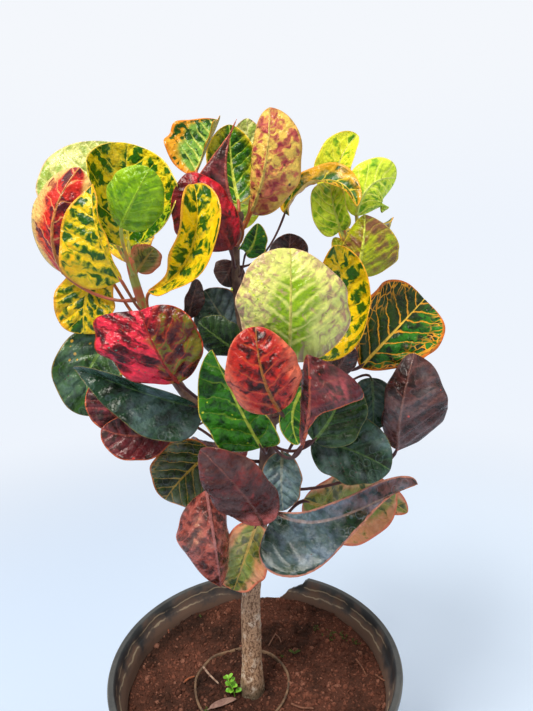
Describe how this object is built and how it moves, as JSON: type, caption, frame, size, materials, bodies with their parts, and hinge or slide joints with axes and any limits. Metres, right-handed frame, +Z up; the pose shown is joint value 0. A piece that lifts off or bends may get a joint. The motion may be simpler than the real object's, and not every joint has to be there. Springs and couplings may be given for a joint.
{
  "type": "potted croton",
  "caption": "Young branched croton shrub with broad many-coloured cupped leaves on a woody stem, in soil in a tapered black nursery pot with a broken rim.",
  "frame": {"origin": "middle of the pot's flat base, on the surface that it stands on", "axes": "+Z up along the pot's axis, -Y towards the picture's viewer, +X to the viewer's right"},
  "size_m": [0.313, 0.2525, 0.6785],
  "materials": {
    "pot_plastic": "worn satin",
    "soil": "granular",
    "ring_plastic": "dirty matte",
    "seedling": "soft leaf",
    "dry_leaf": "dry matte",
    "bark": "rough bark",
    "leaf_crimson": "waxy gloss",
    "leaf_dark_green": "waxy gloss",
    "leaf_green": "waxy gloss",
    "leaf_grey": "waxy gloss",
    "leaf_lime": "waxy gloss",
    "leaf_maroon": "waxy gloss",
    "leaf_orange": "waxy gloss",
    "leaf_pale_lime": "waxy gloss",
    "leaf_pink": "waxy gloss",
    "leaf_purple": "waxy gloss",
    "leaf_yellow": "waxy gloss"
  },
  "bodies": {
    "root": {"pot": "pot_plastic", "soil": "soil", "nursery_ring": "ring_plastic", "weed_seedling": "seedling", "dry_leaf": "dry_leaf", "stem": "bark", "leaf_left_lime_back": "leaf_pale_lime", "leaf_left_red": "leaf_crimson", "leaf_left_yellow_low": "leaf_yellow", "leaf_left_yellow_cup": "leaf_yellow", "leaf_left_green_front": "leaf_green", "leaf_left_yellow_curl": "leaf_yellow", "leaf_left_yellow_hang": "leaf_yellow", "leaf_centre_orange": "leaf_orange", "leaf_centre_green_cup": "leaf_green", "leaf_centre_lime_back": "leaf_lime", "leaf_centre_maroon_horn": "leaf_maroon", "leaf_centre_maroon_back": "leaf_crimson", "leaf_centre_pink": "leaf_pink", "leaf_centre_arch": "leaf_orange", "leaf_centre_brown_back": "leaf_purple", "leaf_right_yellow_top": "leaf_yellow", "leaf_right_yellow_low": "leaf_lime", "leaf_right_lime_curl": "leaf_lime", "leaf_right_olive": "leaf_lime", "leaf_mid_lime_big": "leaf_pale_lime", "leaf_mid_red_round": "leaf_crimson", "leaf_mid_orange_cup": "leaf_yellow", "leaf_mid_orange_veined": "leaf_dark_green", "leaf_mid_purple_right": "leaf_purple", "leaf_mid_maroon_arch": "leaf_maroon", "leaf_mid_green_round": "leaf_dark_green", "leaf_mid_dark_rim": "leaf_dark_green", "leaf_mid_dark_big": "leaf_dark_green", "leaf_mid_bright_green": "leaf_green", "leaf_mid_crimson": "leaf_crimson", "leaf_mid_dark_left": "leaf_dark_green", "leaf_mid_long_green": "leaf_dark_green", "leaf_mid_maroon_low": "leaf_maroon", "leaf_mid_maroon_up": "leaf_maroon", "leaf_mid_grey_upper": "leaf_dark_green", "leaf_mid_dark_under": "leaf_purple", "leaf_low_orange_veined": "leaf_orange", "leaf_low_purple_diag": "leaf_purple", "leaf_low_red_left": "leaf_crimson", "leaf_low_green_orange": "leaf_orange", "leaf_low_grey_tail": "leaf_grey", "leaf_low_orange_back": "leaf_orange", "leaf_low_orange_far": "leaf_orange", "leaf_low_dark_centre": "leaf_dark_green", "leaf_back_left_high": "leaf_yellow", "leaf_back_left_low": "leaf_dark_green", "leaf_back_centre_high": "leaf_lime", "leaf_back_centre_low": "leaf_maroon", "leaf_back_right_high": "leaf_yellow", "leaf_back_right_low": "leaf_dark_green", "leaf_back_middle": "leaf_dark_green", "leaf_back_low_left": "leaf_maroon", "leaf_back_low_right": "leaf_dark_green"}
  },
  "joints": []
}
